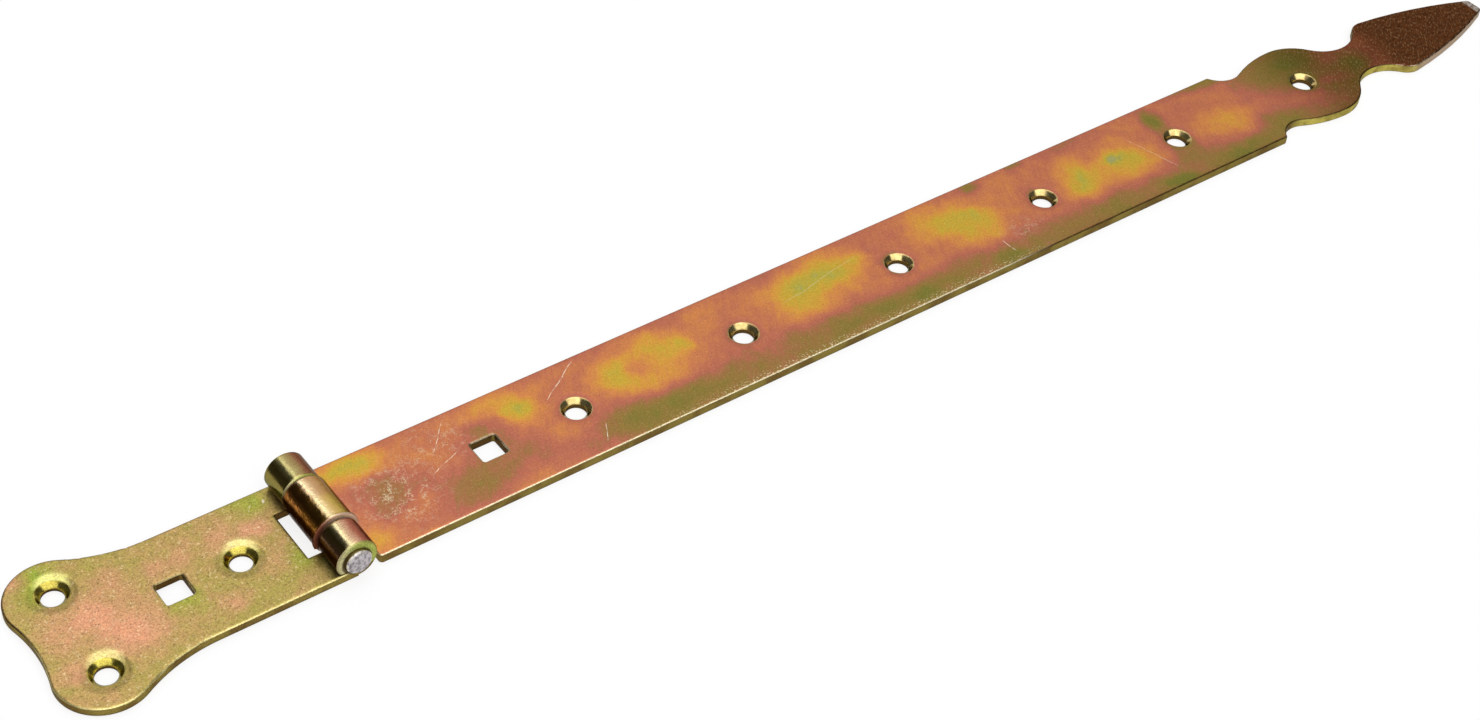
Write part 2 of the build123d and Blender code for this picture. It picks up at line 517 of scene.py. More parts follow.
@dataclass(frozen=True)
class PassivatedZinc:
    """Zinc with a yellow passivated film, whose colours follow the film's thickness, with painted highlight and
    shade on its edges, walls, knuckles and hole rings. Lengths are in mm.
    """

    name: str
    colours: Stops
    patches: tuple[Patch, ...]
    holes: tuple[Point, ...]
    square: Point
    near_knuckle: KnuckleFilmAndPaintedLight
    far_knuckle: KnuckleFilmAndPaintedLight
    face_height: float

    base: float = 0.5
    cloud_size: float = 22.0
    cloud_strength: float = 0.3
    mottle_size: float = 4.5
    mottle_strength: float = 0.22
    wipe: Place = (9.0, 1.1, 62.0)
    wipe_strength: float = 0.16
    wander_size: float = 13.0
    wander: float = 5.5

    specks: Speckle = Speckle(0.5, 4.0, 0.43, 0.31, (0.0, 0.35))
    # the colour of the dark specks, also used for the painted shade round the leaf's pin
    speck_and_shade_colour: Colour = (84, 62, 38)
    # painted glints: bright specks that stand in for small highlights
    glints: Speckle = Speckle(0.6, 3.0, 0.59, 0.71, (0.0, 0.25))
    glint_colour: Colour = (236, 216, 172)
    scratches: tuple[Scratch, ...] = ()
    scratch_colour: Colour = (232, 222, 200)
    grain_size: float = 0.4
    grain_strength: float = 0.14
    grain_depth: float = 0.01

    hole_radius: float = 3.3
    cone_radius: float = 4.9
    cone_colours: tuple[Colour, Colour] = ((150, 118, 60), (232, 214, 150))
    cone_cloud: float = 1.6
    square_radius: float = 5.2
    # painted shade on the walls inside the holes and the window
    wall_shade: Colour = (84, 62, 30)
    halo_width: float = 2.4
    halo_shade: float = 0.14
    dish_width: float = 2.8
    dish_depth: float = 0.22

    side_colours: tuple[Colour, Colour] = ((140, 122, 62), (116, 94, 50))
    side_clouds: Speckle = Speckle(9.0, 3.0, 0.4, 0.62)
    # painted highlight on the rounded near edges and painted shade on the far ones, broken up by a cloudy
    # pattern
    rim_near_highlight: Colour = (246, 234, 196)
    rim_far_shade: Colour = (92, 68, 46)
    rim_turn: Point = (-3.0, 9.0)
    rim_breaks: Speckle = Speckle(1.0, 4.0, 0.3, 0.5, (0.5, 1.0))
    rim_radius: float = 0.9

    knuckle_rise: Point = (0.5, 1.2)
    knuckle_turn: Point = (-2.0, 2.0)
    # the knuckles' end faces: their pale colour towards +X, turning to painted shade past end_turn
    end_colours: tuple[Colour, Colour] = ((244, 214, 192), (150, 92, 72))
    end_turn: Point = (1.0, -5.0)

    dullness: Speckle = Speckle(3.0, 4.0, 0.3, 0.7, (0.33, 0.45))
    knuckle_gloss: float = 0.21
    end_dullness: float = 0.51
    lump_size: float = 2.2
    lump_depth: float = 0.05
    pit_size: float = 1.3
    pit_depth: float = 0.03

    def film(self, graph: NodeGraph) -> Socket:
        """Work out the film over the plate's face, before its holes.

        Args:
            graph: the material's nodes.

        Returns:
            The film, from about 0 to 1.
        """
        patterns = (
            (graph.noise(self.cloud_size, 4.0), self.cloud_strength),
            (graph.noise(self.mottle_size, 4.0), self.mottle_strength),
            (graph.streaks(*self.wipe), self.wipe_strength),
        )
        film = self.base - sum(strength for _, strength in patterns) / 2
        for pattern, strength in patterns:
            film = graph.math("MULTIPLY_ADD", pattern, strength, film)
        place = graph.warped(self.wander_size, self.wander)
        for patch in self.patches:
            film = patch.add_to(graph, film, place)
        return film

    def nearest_hole(self, graph: NodeGraph, aside: Point = (0.0, 0.0)) -> Socket:
        """Work out how far the surface lies from its nearest screw hole's axis.

        Args:
            graph: the material's nodes.
            aside: how far aside of the axis it is measured.

        Returns:
            The distance in metres.
        """
        x, y, _ = graph.axes(graph.place)
        centres = [(hole[0] + aside[0], hole[1] + aside[1]) for hole in self.holes]
        nearest = graph.reach(x, y, centres[0])
        for centre in centres[1:]:
            nearest = graph.math("MINIMUM", nearest, graph.reach(x, y, centre))
        return nearest

    def zones(self, graph: NodeGraph) -> Zones:
        """Find the face, the walls, the rims, the knuckles and the countersinks.

        Args:
            graph: the material's nodes.

        Returns:
            Where each of them lies.
        """
        distance = self.nearest_hole(graph)
        _, _, height = graph.axes(graph.place)
        _, sideways, upward = graph.normal()
        soft_normal, soft_upward = graph.softened(self.rim_radius)
        low, high = self.knuckle_rise
        rounded = graph.step(graph.math("ABSOLUTE", soft_upward), 0.97, 0.8)
        upright = graph.math("SUBTRACT", 1.0, graph.step(upward, 0.1, 0.3))
        return Zones(
            distance=distance,
            face=graph.step(graph.math("ABSOLUTE", upward), 0.3, 0.6),
            wall=graph.product(self.walls(graph, distance), upright),
            rim=graph.product(rounded, self.rim_breaks.on(graph)),
            knuckle=graph.past(height, (self.face_height + low, self.face_height + high)),
            endways=graph.step(graph.math("ABSOLUTE", sideways), 0.5, 0.8),
            countersink=graph.past(distance, (self.cone_radius + 0.1, self.cone_radius - 0.1)),
            soft_normal=soft_normal,
        )

    def walls(self, graph: NodeGraph, distance: Socket) -> Socket:
        """Find the places inside the screw holes and the square hole.

        Args:
            graph: the material's nodes.
            distance: the distance from the nearest hole.

        Returns:
            1 inside a hole and 0 elsewhere.
        """
        x, y, _ = graph.axes(graph.place)
        in_hole = graph.past(distance, (self.hole_radius + 0.25, self.hole_radius + 0.1))
        reach = graph.reach(x, y, self.square)
        return graph.math("MAXIMUM", in_hole, graph.past(reach, (self.square_radius + 0.9, self.square_radius)))

    def face_colour(self, graph: NodeGraph, distance: Socket) -> Socket:
        """Colour the plate's face: film, specks, scratches and the darker rings of painted shade round its
        holes.

        Args:
            graph: the material's nodes.
            distance: the distance from the nearest hole.

        Returns:
            The face's colour.
        """
        edge = self.cone_radius
        # painted shade: the film is lowered in a ring round each countersink, over the dish
        halo = graph.past(distance, (edge + self.halo_width, edge), (0.0, self.halo_shade))
        face = graph.ramp(graph.math("SUBTRACT", self.film(graph), halo), self.colours)
        face = graph.mix(self.specks.on(graph), face, self.speck_and_shade_colour)
        # painted glints
        face = graph.mix(self.glints.on(graph), face, self.glint_colour)
        for scratch in self.scratches:
            face = scratch.add_to(graph, face, self.scratch_colour)
        return face

    def side_colour(self, graph: NodeGraph) -> Socket:
        """Colour the plate's cut sides, in two shades."""
        return graph.mix(self.side_clouds.on(graph), *self.side_colours)

    def rim_colour(self, graph: NodeGraph) -> Socket:
        """Colour the plate's rounded edges: a painted highlight on the near side, painted shade on the far
        side.
        """
        _, y, _ = graph.axes(graph.place)
        return graph.mix(graph.past(y, self.rim_turn), self.rim_near_highlight, self.rim_far_shade)

    def knuckle_colour(self, graph: NodeGraph, ends: Socket) -> Socket:
        """Colour the rolled knuckles and their ends, whose bands and end faces carry painted highlight and
        shade.

        Args:
            graph: the material's nodes.
            ends: where the knuckles' ends lie.

        Returns:
            The knuckles' colour.
        """
        x, y, _ = graph.axes(graph.place)
        far = graph.past(y, self.knuckle_turn)
        roll = graph.mix(far, self.near_knuckle.colour(graph), self.far_knuckle.colour(graph))
        return graph.mix(ends, roll, graph.mix(graph.past(x, self.end_turn), *self.end_colours))

    def colour(self, graph: NodeGraph, zones: Zones, grain: Socket) -> Socket:
        """Colour the whole plate.

        Args:
            graph: the material's nodes.
            zones: where each kind of surface lies.
            grain: the fine grain.

        Returns:
            The plate's colour.
        """
        # the rounded edges take their painted highlight and painted shade
        face = graph.mix(zones.rim, self.face_colour(graph, zones.distance), self.rim_colour(graph))
        plate = graph.mix(zones.face, self.side_colour(graph), face)
        colour = graph.mix(zones.knuckle, plate, self.knuckle_colour(graph, zones.endways))
        cone = graph.mix(graph.noise(self.cone_cloud, 2.0), *self.cone_colours)
        colour = graph.mix(zones.countersink, colour, cone)
        # painted shade inside the holes and the window
        colour = graph.mix(zones.wall, colour, self.wall_shade)
        mottle = graph.step(grain, 0.3, 0.7, (1 - self.grain_strength, 1 + self.grain_strength))
        return graph.mix(1.0, colour, graph.grey(mottle), "MULTIPLY")

    def roughness(self, graph: NodeGraph, zones: Zones) -> Socket:
        """Make the knuckles and countersinks glossier than the face, and the knuckles' ends duller.

        Args:
            graph: the material's nodes.
            zones: where each kind of surface lies.

        Returns:
            The roughness.
        """
        glossy = graph.math("MAXIMUM", zones.knuckle, zones.countersink)
        polish = graph.math("MULTIPLY", glossy, self.knuckle_gloss)
        smoothed = graph.math("SUBTRACT", self.dullness.on(graph), polish)
        ends = graph.product(zones.knuckle, zones.endways)
        return graph.math("ADD", smoothed, graph.math("MULTIPLY", ends, self.end_dullness))

    def surface(self, graph: NodeGraph, zones: Zones, grain: Socket) -> Socket:
        """Tilt the normal by lumps, pits, the dishes round the holes and the grain.

        Args:
            graph: the material's nodes.
            zones: where each kind of surface lies.
            grain: the fine grain.

        Returns:
            The bumped normal.
        """
        lumps = graph.bump(graph.noise(self.lump_size, 3.0), self.lump_depth, zones.soft_normal)
        pits = graph.bump(graph.product(zones.knuckle, graph.noise(self.pit_size, 3.0)), self.pit_depth, lumps)
        dished = graph.past(zones.distance, (self.cone_radius, self.cone_radius + self.dish_width))
        return graph.bump(grain, self.grain_depth, graph.bump(dished, self.dish_depth, pits))

    def material(self) -> bpy.types.Material:
        """Build the plate's material.

        Returns:
            The finished material.
        """
        material, graph = new_material(self.name)
        zones = self.zones(graph)
        grain = graph.noise(self.grain_size, 3.0)
        colour = self.colour(graph, zones, grain)
        graph.metal(colour, self.roughness(graph, zones), self.surface(graph, zones, grain))
        return material


@dataclass(frozen=True)
class StrapFinish(PassivatedZinc):
    """The strap's film: gold clouds between its holes, olive along the near side and a dark spear end."""

    name: str = "strap_film"
    colours: Stops = (
        (0.0, (118, 114, 50)),
        (0.14, (138, 114, 58)),
        (0.26, (152, 108, 68)),
        (0.37, (174, 102, 82)),
        (0.48, (184, 112, 80)),
        (0.6, (198, 128, 74)),
        (0.72, (202, 146, 64)),
        (0.84, (190, 158, 58)),
        (0.94, (172, 160, 66)),
        (1.0, (156, 154, 94)),
    )
    patches: tuple[Patch, ...] = (
        Patch(17, 15, 10, 0.4, 1.9),
        Patch(12, 6, 7, -0.06, 1.4),
        Patch(11, -15, 7, 0.2, 1.3),
        Patch(24, 0, 13, -0.24, 1.5),
        Patch(20, -7, 6, -0.12, 1.5),
        Patch(29, -15, 8, -0.12, 2.0),
        Patch(37, -4, 9, -0.08, 1.2),
        Patch(46, -11, 15, -0.3, 1.2),
        Patch(56, 3, 12, -0.24, 1.1),
        Patch(64, -9, 12, -0.26, 1.3),
        Patch(71, 8, 9, 0.36, 1.0),
        Patch(64, 15, 10, 0.16, 2.6),
        Patch(77, -15, 8, -0.1, 1.5),
        Patch(95, -12, 12, -0.24, 1.2),
        Patch(103, 6, 12, 0.36, 1.0),
        Patch(112, -3, 11, 0.26, 1.5),
        Patch(121, 8, 13, 0.3, 1.4),
        Patch(128, 6, 6, 0.16, 0.8),
        Patch(114, 4, 7, -0.14, 1.2),
        Patch(118, -14, 11, -0.1, 3.2),
        Patch(138, -8, 9, -0.08, 1.2),
        Patch(141, 12, 8, 0.08, 1.2),
        Patch(162, -8, 8, -0.1, 1.3),
        Patch(174, 7, 13, 0.42, 1.3),
        Patch(190, 9, 12, 0.36, 1.4),
        Patch(200, 8, 6, 0.2, 1.0),
        Patch(172, -3, 9, 0.16, 1.8),
        Patch(176, -9, 6, -0.1, 1.6),
        Patch(190, -15, 7, -0.14, 3.6),
        Patch(207, 4, 11, -0.12, 0.7),
        Patch(232, 8, 15, 0.28, 1.1),
        Patch(243, 2, 15, 0.34, 1.1),
        Patch(247, 6, 6, 0.12),
        Patch(221, -13, 9, -0.04, 1.5),
        Patch(208, -15, 7, -0.16, 1.4),
        Patch(244, -17, 5, -0.16, 2.4),
        Patch(254, 19, 5, -0.3, 1.4),
        Patch(271, 4, 11, -0.12, 0.7),
        Patch(274, 18, 5, -0.3, 1.1),
        Patch(290, 1, 16, 0.4, 0.9),
        Patch(310, 0, 16, 0.4, 1.0),
        Patch(306, 4, 6, 0.24, 1.2),
        Patch(300, 17, 6, -0.1, 3.0),
        Patch(292, -16, 6, -0.1, 1.8),
        Patch(319, -18, 5, -0.28, 2.0),
        Patch(328, -4, 9, -0.2, 0.6),
        Patch(333, 12, 11, -0.48, 0.7),
        Patch(334, -7, 8, -0.24),
        Patch(356, -3, 14, 0.22, 1.2),
        Patch(346, 10, 8, -0.08, 1.2),
        Patch(372, 9, 7, -0.06, 1.2),
        Patch(366, 19, 6, -0.32, 5.0),
        Patch(352, -18, 6, -0.16, 4.0),
        Patch(374, -10, 11, -0.16, 1.3),
        Patch(391, 10, 18, -0.44, 1.6),
        Patch(406, 15, 13, -0.26, 1.5),
        Patch(424, 2, 9, -0.14, 1.3),
        Patch(383, -8, 6, 0.04, 1.2),
        Patch(396, -13, 9, 0.04, 1.3),
        Patch(412, 0, 17, -0.3, 1.5),
        Patch(420, -2, 8, -0.2, 1.2),
    )
    holes: tuple[Point, ...] = tuple((85.9 + 62.0 * number, 0.0) for number in range(6))
    square: Point = (55.5, 0.0)
    # bands of film with a painted highlight near the top and painted shade low on the -X side
    near_knuckle: KnuckleFilmAndPaintedLight = KnuckleFilmAndPaintedLight(
        (
            (-6.6, (84, 50, 18)),
            (-5.8, (186, 126, 52)),
            (-4.6, (96, 62, 22)),
            (-2.6, (122, 90, 36)),
            (-1.2, (232, 210, 160)),
            (0.8, (206, 172, 106)),
            (3.2, (176, 148, 68)),
            (6.0, (156, 120, 60)),
        )
    )
    far_knuckle: KnuckleFilmAndPaintedLight = KnuckleFilmAndPaintedLight(
        (
            (-6.6, (84, 50, 18)),
            (-5.8, (190, 126, 62)),
            (-4.6, (96, 60, 24)),
            (-2.6, (120, 84, 38)),
            (-1.2, (230, 204, 160)),
            (0.8, (192, 152, 108)),
            (3.2, (172, 130, 78)),
            (6.0, (156, 116, 60)),
        )
    )
    face_height: float = 3.0

    glints: Speckle = Speckle(0.6, 3.0, 0.59, 0.71, (0.0, 0.15))
    grain_strength: float = 0.09
    dish_depth: float = 0.1
    pit_depth: float = 0.16
    scratches: tuple[Scratch, ...] = (
        Scratch((79, 6.5), (98, 19)),
        Scratch((246, -9), (246.5, -16)),
        Scratch((317, 12), (324, -14), strength=0.5),
        Scratch((40, 6), (50, 17)),
        Scratch((36, -1), (48, 4)),
        Scratch((165, 4), (203, 11), strength=0.3),
        Scratch((86, -17), (90, -10)),
    )

    edge_wander: float = 8.0
    olive_x: Point = (70.0, 110.0)
    olive_y: Point = (-3.0, -17.0)
    olive_drop: float = 0.3
    far_y: Point = (15.0, 21.0)
    far_drop: float = 0.1

    scuffs: tuple[Patch, ...] = (
        Patch(24, -2, 20, 1.0),
        Patch(44, 10, 14, 0.5, 1.2),
        Patch(256, -8, 7, 0.5, 2.0),
    )
    scuff_breaks: Speckle = Speckle(2.0, 4.0, 0.44, 0.6, (0.0, 0.8))
    scuff_colour: Colour = (212, 196, 164)

    # specks along the near side, in the painted edge highlight and, further along, the painted edge shade
    near_specks_x: Point = (90.0, 140.0)
    near_specks_y: Point = (-16.5, -19.5)
    near_specks: Speckle = Speckle(0.6, 4.0, 0.55, 0.64, (0.0, 0.6))
    near_specks_shade_turn: Point = (235.0, 270.0)

    dull_x: Point = (372.0, 412.0)
    dull_colour: Colour = (184, 172, 160)
    coarse_streaks: Place = (1.5, 0.5, 50.0)
    coarse_strength: float = 0.3
    coarse_colour: Colour = (176, 148, 108)
    tip_x: Point = (428.0, 450.0)
    tip_wander: float = 8.0
    tip_clouds: Speckle = Speckle(1.6, 5.0, 0.3, 0.7)
    tip_colours: tuple[Colour, Colour] = ((92, 53, 28), (70, 39, 19))
    nose_x: Point = (484.6, 485.4)
    nose_wear: Speckle = Speckle(1.4, 4.0, 0.35, 0.6, (0.25, 0.9))
    nose_colour: Colour = (176, 168, 160)

    # painted shade on the rounded edges from half way along the strap
    near_rim_shade_x: Point = (231.0, 261.0)
    near_rim_shade: Colour = (74, 54, 34)
    # painted highlight on the near sides of the lobe and neck, broken up by a cloudy pattern
    lobe_x: Point = (374.0, 380.0)
    lobe_y: Point = (3.0, -3.0)
    lobe_highlight_breaks: Speckle = Speckle(4.0, 2.0, 0.3, 0.6, (0.4, 1.0))
    lobe_side_highlight: Colour = (194, 180, 88)
    spear_x: Point = (436.0, 446.0)
    spear_rim_x: Point = (428.0, 440.0)
    spear_wear: Speckle = Speckle(2.4, 3.0, 0.4, 0.6)
    spear_side: Colour = (190, 166, 140)

    def film(self, graph: NodeGraph) -> Socket:
        """Thin the plain film towards both long sides.

        Args:
            graph: the material's nodes.

        Returns:
            The film, from about 0 to 1.
        """
        film = super().film(graph)
        x, y, _ = graph.axes(graph.place)
        pattern = graph.noise(24.0, 4.0)
        wander = graph.math("MULTIPLY_ADD", pattern, 2 * self.edge_wander * MM, -self.edge_wander * MM)
        edge = graph.math("ADD", y, wander)
        near = graph.product(graph.past(edge, self.olive_y), graph.past(x, self.olive_x))
        film = graph.math("SUBTRACT", film, graph.math("MULTIPLY", near, self.olive_drop))
        return graph.math("SUBTRACT", film, graph.past(edge, self.far_y, (0.0, self.far_drop)))

    def scuffed(self, graph: NodeGraph, face: Socket) -> Socket:
        """Draw fine crossing scratches over the scuffed zones.

        Args:
            graph: the material's nodes.
            face: the face's colour before.

        Returns:
            The face's colour with the scuffs.
        """
        zone = 0.0
        for scuff in self.scuffs:
            zone = scuff.add_to(graph, zone, graph.place)
        net = graph.math("MAXIMUM", graph.lines(2.9, 0.04), graph.lines(1.7, 0.05))
        share = graph.product(graph.math("MINIMUM", zone, 1.0), self.scuff_breaks.on(graph), net)
        return graph.mix(share, face, self.scuff_colour)

    def worn(self, graph: NodeGraph, face: Socket) -> Socket:
        """Specks along the near side: in the edge's painted highlight, and further along in its painted shade.

        Args:
            graph: the material's nodes.
            face: the face's colour before.

        Returns:
            The face's colour with the specks.
        """
        x, y, _ = graph.axes(graph.place)
        near, along = graph.past(y, self.near_specks_y), graph.past(x, self.near_specks_x)
        share = graph.product(near, along, self.near_specks.on(graph))
        return graph.mix(share, face, graph.mix(graph.past(x, self.near_specks_shade_turn), self.rim_near_highlight, self.near_rim_shade))

    def darkened(self, graph: NodeGraph, face: Socket) -> Socket:
        """Dull the lobe, darken the spear and rub its nose bare.

        Args:
            graph: the material's nodes.
            face: the face's colour before.

        Returns:
            The face's colour with the spear end.
        """
        x, _, _ = graph.axes(graph.place)
        dull = graph.past(x, self.dull_x)
        face = graph.mix(dull, face, self.dull_colour, "MULTIPLY")
        wander = graph.math("MULTIPLY_ADD", graph.noise(14.0, 3.0), 2 * self.tip_wander * MM, x)
        mottled = graph.mix(self.tip_clouds.on(graph), *self.tip_colours)
        face = graph.mix(graph.past(wander, self.tip_x), face, mottled)
        coarse = graph.step(graph.streaks(*self.coarse_streaks), 0.54, 0.66, (0.0, self.coarse_strength))
        face = graph.mix(graph.product(coarse, dull), face, self.coarse_colour)
        rubbed = graph.product(graph.past(x, self.nose_x), self.nose_wear.on(graph))
        return graph.mix(rubbed, face, self.nose_colour)

    def face_colour(self, graph: NodeGraph, distance: Socket) -> Socket:
        """Add the scuffs by the root, the worn near side and the dark spear end."""
        return self.darkened(graph, self.worn(graph, self.scuffed(graph, super().face_colour(graph, distance))))

    def side_colour(self, graph: NodeGraph) -> Socket:
        """Paint a highlight on the near sides of the lobe and neck, and leave the spear's sides worn pale.

        Args:
            graph: the material's nodes.

        Returns:
            The sides' colour.
        """
        x, y, _ = graph.axes(graph.place)
        bright = graph.product(graph.past(x, self.lobe_x), graph.past(y, self.lobe_y), self.lobe_highlight_breaks.on(graph))
        lobe = graph.mix(bright, super().side_colour(graph), self.lobe_side_highlight)
        return graph.mix(graph.past(x, self.spear_x), lobe, self.spear_side)

    def rim_colour(self, graph: NodeGraph) -> Socket:
        """Paint shade on the rounded edges from half way along, so the near edge turns dark, and rub the
        spear's edges pale.

        Args:
            graph: the material's nodes.

        Returns:
            The rims' colour.
        """
        x, _, _ = graph.axes(graph.place)
        rim = graph.mix(graph.past(x, self.near_rim_shade_x), super().rim_colour(graph), self.near_rim_shade)
        rubbed = graph.product(graph.past(x, self.spear_rim_x), self.spear_wear.on(graph))
        return graph.mix(rubbed, rim, self.spear_side)


@dataclass(frozen=True)
class LeafFinish(PassivatedZinc):
    """The leaf's greener, more speckled film, with painted shade on the walls of the window that the strap's
    knuckle turns in.
    """

    name: str = "leaf_film"
    colours: Stops = (
        (0.0, (138, 160, 62)),
        (0.2, (158, 156, 70)),
        (0.4, (168, 148, 84)),
        (0.58, (186, 146, 100)),
        (0.76, (206, 150, 114)),
        (1.0, (224, 156, 120)),
    )
    patches: tuple[Patch, ...] = (
        Patch(-69, 2, 15, 0.36, 1.2),
        Patch(-60, -9, 13, 0.32, 1.1),
        Patch(-60, 14, 8, 0.22, 1.2),
        Patch(-43, 9, 9, 0.18, 1.3),
        Patch(-33, -12, 8, 0.26, 1.2),
        Patch(-26, 10, 8, 0.2, 1.3),
        Patch(-15, 8, 7, 0.22),
        Patch(-16, -6, 8, 0.2),
        Patch(-79, -12, 8, 0.2),
        Patch(-74, 24, 9, -0.42),
        Patch(-79, 17, 7, -0.2),
        Patch(-44, -5, 8, -0.3),
        Patch(-14, 18, 8, -0.3, 1.4),
        Patch(-11, -8, 8, -0.28),
        Patch(-84, 26, 8, 0.26),
    )
    holes: tuple[Point, ...] = ((-25.0, 0.0), (-73.2, 16.4), (-73.2, -16.4))
    square: Point = (-45.1, 0.0)
    # bands of film with a painted highlight near the top and painted shade towards the -X side
    near_knuckle: KnuckleFilmAndPaintedLight = KnuckleFilmAndPaintedLight(
        (
            (-6.4, (80, 44, 24)),
            (-5.2, (124, 92, 62)),
            (-3.6, (96, 84, 40)),
            (-1.6, (214, 198, 150)),
            (0.6, (196, 152, 122)),
            (2.6, (160, 92, 72)),
            (6.0, (150, 96, 74)),
        )
    )
    far_knuckle: KnuckleFilmAndPaintedLight = KnuckleFilmAndPaintedLight(
        (
            (-6.4, (140, 130, 70)),
            (-5.2, (136, 120, 62)),
            (-3.6, (110, 96, 44)),
            (-1.6, (178, 168, 112)),
            (0.6, (156, 132, 86)),
            (2.6, (132, 84, 62)),
            (6.0, (130, 92, 60)),
        )
    )
    face_height: float = 2.98

    base: float = 0.44
    cloud_strength: float = 0.4
    mottle_strength: float = 0.4
    wipe_strength: float = 0.08
    specks: Speckle = Speckle(0.7, 4.0, 0.43, 0.31, (0.0, 0.5))
    glints: Speckle = Speckle(0.84, 3.0, 0.59, 0.71, (0.0, 0.42))
    grain_strength: float = 0.22
    halo_shade: float = 0.05
    dish_depth: float = 0.55
    cone_colours: tuple[Colour, Colour] = ((132, 110, 44), (214, 202, 96))
    # the leaf's painted highlight on its rounded near edges
    rim_near_highlight: Colour = (232, 218, 150)
    rim_radius: float = 1.2
    # lime end faces, turning to a painted cream highlight past end_turn
    end_colours: tuple[Colour, Colour] = ((186, 194, 104), (206, 198, 150))
    scratches: tuple[Scratch, ...] = (Scratch((-9.8, 15.4), (-8.8, 17.2), width=0.5),)

    window_x: float = -9.9
    window_half: float = 10.4
    # painted highlight on the far side of each countersink
    crest_aside: Point = (1.4, 3.0)
    crest_reach: Point = (5.8, 3.6)
    crest_strength: float = 0.42
    crest_highlight: Colour = (248, 238, 160)
    bore_centre: Point = (-0.3, AXIS_HEIGHT - 0.3)
    bore_reach: Point = (4.9, 4.35)
    bore_shadow: float = 0.85

    def walls(self, graph: NodeGraph, distance: Socket) -> Socket:
        """Add the window to the places inside holes.

        Args:
            graph: the material's nodes.
            distance: the distance from the nearest hole.

        Returns:
            1 inside a hole or the window and 0 elsewhere.
        """
        x, y, _ = graph.axes(graph.place)
        along = graph.past(x, (self.window_x, self.window_x + 0.2))
        across = graph.past(graph.math("ABSOLUTE", y), (self.window_half, self.window_half - 0.2))
        return graph.math("MAXIMUM", super().walls(graph, distance), graph.product(along, across))

    def face_colour(self, graph: NodeGraph, distance: Socket) -> Socket:
        """Paint a highlight on the far rims of the countersinks.

        Args:
            graph: the material's nodes.
            distance: the distance from the nearest hole.

        Returns:
            The face's colour.
        """
        beside = self.nearest_hole(graph, self.crest_aside)
        crest = graph.past(beside, self.crest_reach, (0.0, self.crest_strength))
        return graph.mix(crest, super().face_colour(graph, distance), self.crest_highlight)

    def colour(self, graph: NodeGraph, zones: Zones, grain: Socket) -> Socket:
        """Add painted shade round the pin, in the gap between it and the knuckles, to the plate's colour.

        Args:
            graph: the material's nodes.
            zones: where each kind of surface lies.
            grain: the fine grain.

        Returns:
            The leaf's colour.
        """
        x, _, height = graph.axes(graph.place)
        reach = graph.reach(x, height, self.bore_centre)
        # painted shade in the gap round the pin
        dark = graph.past(reach, self.bore_reach, (0.0, self.bore_shadow))
        return graph.mix(dark, super().colour(graph, zones, grain), self.speck_and_shade_colour)


@dataclass(frozen=True)
class CroppedSteel:
    """The bare grey end of a cropped bar, with a bright burr round it and the plated skin behind."""

    name: str = "cropped_steel"
    end_y: Point = (21.6, 21.9)
    end_clouds: Speckle = Speckle(0.9, 5.0, 0.35, 0.6)
    end_colours: tuple[Colour, Colour] = ((142, 135, 138), (206, 200, 202))
    burr_reach: Point = (3.3, 3.8)
    burr_breaks: Speckle = Speckle(1.3, 3.0, 0.38, 0.55)
    burr_colour: Colour = (226, 218, 208)
    skin_colour: Colour = (150, 132, 78)
    dullness: Speckle = Speckle(1.1, 3.0, 0.3, 0.7, (0.42, 0.6))
    lump_size: float = 2.6
    lump_depth: float = 0.5
    tear_size: float = 0.9
    tear_depth: float = 0.1

    def material(self) -> bpy.types.Material:
        """Build the pin's material.

        Returns:
            The finished material.
        """
        material, graph = new_material(self.name)
        x, y, height = graph.axes(graph.place)
        ring = graph.past(graph.reach(x, height, (0.0, AXIS_HEIGHT)), self.burr_reach)
        bare = graph.mix(self.end_clouds.on(graph), *self.end_colours)
        bare = graph.mix(graph.product(ring, self.burr_breaks.on(graph)), bare, self.burr_colour)
        end = graph.past(graph.math("ABSOLUTE", y), self.end_y)
        lumps = graph.bump(graph.noise(self.lump_size, 2.0), self.lump_depth)
        tears = graph.bump(graph.noise(self.tear_size, 4.0), self.tear_depth, lumps)
        graph.metal(graph.mix(end, self.skin_colour, bare), self.dullness.on(graph), tears)
        return material


@dataclass
class Part:
    """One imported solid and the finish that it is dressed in."""

    node: str
    finish: PassivatedZinc | CroppedSteel

    def dress(self) -> bpy.types.Object:
        """Give the solid its finish.

        Returns:
            The solid's object.
        """
        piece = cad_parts[self.node]
        piece.data.materials[0] = self.finish.material()
        return piece


@dataclass
class Strap(Part):
    """The long strap with its middle knuckle and spear end."""

    node: str = "strap"
    finish: PassivatedZinc | CroppedSteel = StrapFinish()


@dataclass
class FrameLeaf(Part):
    """The short lobed leaf with the two outer knuckles."""

    node: str = "frame_leaf"
    finish: PassivatedZinc | CroppedSteel = LeafFinish()


@dataclass
class HingePin(Part):
    """The pin, whose cropped ends show bare steel."""

    node: str = "hinge_pin"
    finish: PassivatedZinc | CroppedSteel = CroppedSteel()


@dataclass(frozen=True)
class Glow:
    """A soft box of light in the sky: each bound is where it starts and where it is full."""

    level: float
    bounds: tuple[tuple[Axis, float, float], ...]

    def add_to(self, graph: NodeGraph, light: Value, axes: tuple[Socket, Socket, Socket]) -> Socket:
        """Add the box to the sky.

        Args:
            graph: the world's nodes.
            light: the sky before the box.
            axes: the direction's X, Y and Z.

        Returns:
            The sky with the box.
        """
        shares = [graph.step(axes[axis], start, full) for axis, start, full in self.bounds]
        return graph.math("MULTIPLY_ADD", graph.product(*shares), self.level, light)


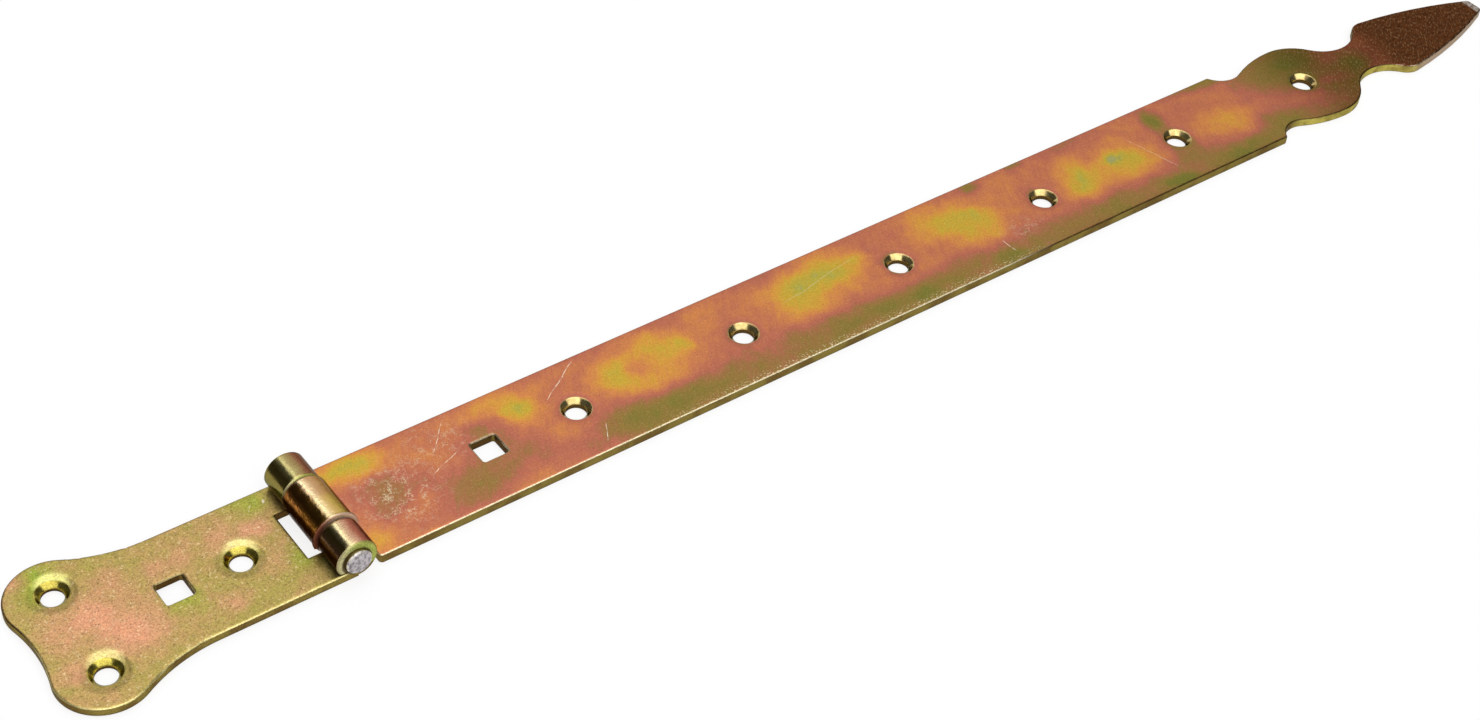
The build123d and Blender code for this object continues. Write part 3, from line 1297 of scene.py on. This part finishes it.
@dataclass
class Studio:
    """A white board under soft boxes, with a camera at the photograph's angle.

    The board ends a little way round the hinge at rest, so that it doesn't hide a swung strap.
    """

    camera_place: Place = (-0.2135, -0.4378, 0.5108)
    camera_aim: Place = (0.1417, -0.0068, 0.0)
    camera_roll: float = 4.583
    lens: float = 59.98
    board_x: Point = (-108.0, 508.0)
    board_y: Point = (-48.0, 50.0)
    board_drop: float = 0.2
    board_white: float = 0.9
    board_glow: float = 0.8
    dim: float = 0.1
    boxes: tuple[Glow, ...] = (
        Glow(0.95, ((Axis.X, -0.2, -0.08), (Axis.Y, 0.1, 0.3), (Axis.Z, -0.05, 0.1))),
        Glow(0.6, ((Axis.X, -0.2, -0.1), (Axis.X, 0.14, 0.04), (Axis.Y, 0.4, 0.55), (Axis.Z, 0.6, 0.72))),
        Glow(1.9, ((Axis.X, 0.56, 0.44), (Axis.Y, -0.2, -0.36), (Axis.Z, 0.3, 0.45))),
        Glow(1.5, ((Axis.Z, 0.76, 0.95),)),
        Glow(0.85, ((Axis.Z, 0.0, -0.06),)),
    )

    def board_material(self) -> bpy.types.Material:
        """Make the board white to the camera and in reflections, while it keeps the hinge's shadow.

        Returns:
            The board's material.
        """
        material, graph = new_material("white_floor")
        diffuse = graph.add("BsdfDiffuse")
        diffuse.inputs["Color"].default_value = (self.board_white,) * 3 + (1,)
        path = graph.add("LightPath")
        seen = graph.math("MAXIMUM", path.outputs["Is Camera Ray"], path.outputs["Is Glossy Ray"])
        mix = graph.add("MixShader")
        graph.feed(mix.inputs[0], graph.math("MULTIPLY", seen, self.board_glow))
        graph.feed(mix.inputs[1], diffuse.outputs[0])
        graph.feed(mix.inputs[2], graph.add("Emission").outputs[0])
        graph.feed(graph.add("OutputMaterial").inputs["Surface"], mix.outputs[0])
        return material

    def board(self) -> bpy.types.Object:
        """Lay the board under the hinge.

        Returns:
            The board's object.
        """
        bpy.ops.mesh.primitive_plane_add(size=1.0)
        board = bpy.context.object
        board.name = "floor"
        for vertex in board.data.vertices:
            x, y = self.board_x[vertex.co.x > 0], self.board_y[vertex.co.y > 0]
            vertex.co = Vector((x, y, -self.board_drop)) * MM
        board.data.materials.append(self.board_material())
        return board

    def sky(self) -> None:
        """Light from soft boxes in a dim sky, which the camera itself sees as white."""
        world = bpy.data.worlds.new("studio_sky")
        bpy.context.scene.world = world
        world.use_nodes = True
        graph = NodeGraph(world.node_tree, "Generated")
        axes = graph.axes(graph.place)
        light = self.dim
        for box in self.boxes:
            light = box.add_to(graph, light, axes)
        level = graph.math("MAXIMUM", light, graph.add("LightPath").outputs["Is Camera Ray"])
        background = graph.add("Background")
        background.inputs["Color"].default_value = (1, 1, 1, 1)
        graph.feed(background.inputs["Strength"], level)
        graph.feed(graph.add("OutputWorld").inputs["Surface"], background.outputs[0])

    def camera(self) -> bpy.types.Object:
        """Set up the camera at the photograph's angle.

        Returns:
            The camera's object.
        """
        place, aim = Vector(self.camera_place), Vector(self.camera_aim)
        data = bpy.data.cameras.new("camera")
        data.lens = self.lens
        camera = bpy.data.objects.new("camera", data)
        bpy.context.scene.collection.objects.link(camera)
        turn = (aim - place).to_track_quat("-Z", "Y").to_matrix().to_4x4()
        roll = Matrix.Rotation(math.radians(self.camera_roll), 4, "Z")
        camera.matrix_world = Matrix.Translation(place) @ turn @ roll
        bpy.context.scene.camera = camera
        return camera

    def build(self) -> None:
        """Set up the board, the light and the camera."""
        self.board()
        self.sky()
        self.camera()
        bpy.context.scene.view_settings.view_transform = "Standard"


def main() -> None:
    """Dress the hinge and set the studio."""
    logging.basicConfig(level=logging.INFO, format="%(name)s: %(message)s")
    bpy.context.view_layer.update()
    for part in (Strap(), FrameLeaf(), HingePin()):
        piece = part.dress()
        logger.info("dressed %s", piece.name)
    Studio().build()


if __name__ == "__main__":
    main()
